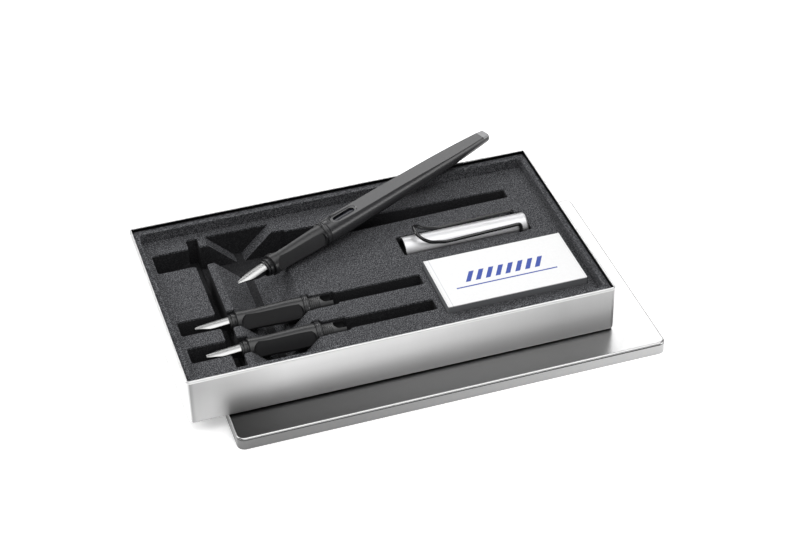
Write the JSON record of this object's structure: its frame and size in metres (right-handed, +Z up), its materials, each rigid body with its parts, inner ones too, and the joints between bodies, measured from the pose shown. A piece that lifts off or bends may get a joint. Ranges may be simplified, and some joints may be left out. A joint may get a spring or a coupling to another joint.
{
  "type": "calligraphy set box",
  "caption": "Open metal tray on its upturned lid, with a flocked insert holding a fountain pen, spare nib sections, a clip cap and a small carton of ink cartridges.",
  "frame": {"origin": "on the table, in the middle of the whole set's footprint", "axes": "+X along the case, from the nibs towards the carton; +Y from the front of the case to its back; +Z up"},
  "size_m": [0.2454, 0.1637, 0.0427],
  "materials": {
    "lid_tin": "satin, brushed",
    "tray_tin": "satin, brushed",
    "foam": "flocked, matt",
    "pen_plastic": "satin",
    "grip_plastic": "matt",
    "connector_plastic": "satin",
    "black_plastic": "gloss",
    "nib_steel": "satin",
    "cartridge_plastic": "gloss",
    "cap_metal": "satin",
    "clip_wire": "satin",
    "carton_board": "coated",
    "carton_print": "printed and coated"
  },
  "bodies": {
    "lid": {"lid_shell": "lid_tin"},
    "tray": {"tray_shell": "tray_tin"},
    "insert": {"foam_insert": "foam"},
    "pen": {"pen_grip": "grip_plastic", "pen_ring": "black_plastic", "pen_connector": "connector_plastic", "pen_feed": "black_plastic", "pen_nib": "nib_steel", "pen_cartridge": "cartridge_plastic"},
    "barrel": {"pen_barrel": "pen_plastic"},
    "spare_a": {"spare_a_grip": "grip_plastic", "spare_a_ring": "black_plastic", "spare_a_connector": "connector_plastic", "spare_a_feed": "black_plastic", "spare_a_nib": "nib_steel"},
    "spare_b": {"spare_b_grip": "grip_plastic", "spare_b_ring": "black_plastic", "spare_b_connector": "connector_plastic", "spare_b_feed": "black_plastic", "spare_b_nib": "nib_steel"},
    "cap": {"cap_tube": "cap_metal", "cap_liner": "black_plastic"},
    "clip": {"cap_clip": "clip_wire"},
    "carton": {"carton_body": "carton_board", "cartridge_1": "cartridge_plastic", "cartridge_2": "cartridge_plastic", "cartridge_3": "cartridge_plastic", "cartridge_4": "cartridge_plastic", "cartridge_5": "cartridge_plastic"},
    "carton_top": {"carton_lid": "carton_print"}
  },
  "joints": [
    {"name": "tray_lift", "type": "slide", "parent": "lid", "child": "tray", "axis": [0, 0, 1], "range_m": [0, 0.06]},
    {"name": "insert_lift", "type": "slide", "parent": "tray", "child": "insert", "axis": [0, 0, 1], "range_m": [0, 0.03]},
    {"name": "pen_lift", "type": "slide", "parent": "insert", "child": "pen", "axis": [0, 0, 1], "range_m": [0, 0.05]},
    {"name": "barrel_pull", "type": "slide", "parent": "pen", "child": "barrel", "axis": [0.9097, 0.4119, 0.0523], "range_m": [0, 0.01]},
    {"name": "spare_a_lift", "type": "slide", "parent": "insert", "child": "spare_a", "axis": [0, 0, 1], "range_m": [0, 0.04]},
    {"name": "spare_b_lift", "type": "slide", "parent": "insert", "child": "spare_b", "axis": [0, 0, 1], "range_m": [0, 0.04]},
    {"name": "cap_lift", "type": "slide", "parent": "insert", "child": "cap", "axis": [0, 0, 1], "range_m": [0, 0.04]},
    {"name": "clip_flex", "type": "hinge", "parent": "cap", "child": "clip", "pos_m": [0.077, 0.01533, 0.0238], "axis": [0, 1, 0], "range_deg": [0, 5], "stiffness_Nm_per_rad": 3.4},
    {"name": "carton_lift", "type": "slide", "parent": "insert", "child": "carton", "axis": [0, 0, 1], "range_m": [0, 0.04]},
    {"name": "carton_top_hinge", "type": "hinge", "parent": "carton", "child": "carton_top", "pos_m": [0.0549, -0.00587, 0.03015], "axis": [-1, 0, 0], "range_deg": [0, 120]}
  ]
}
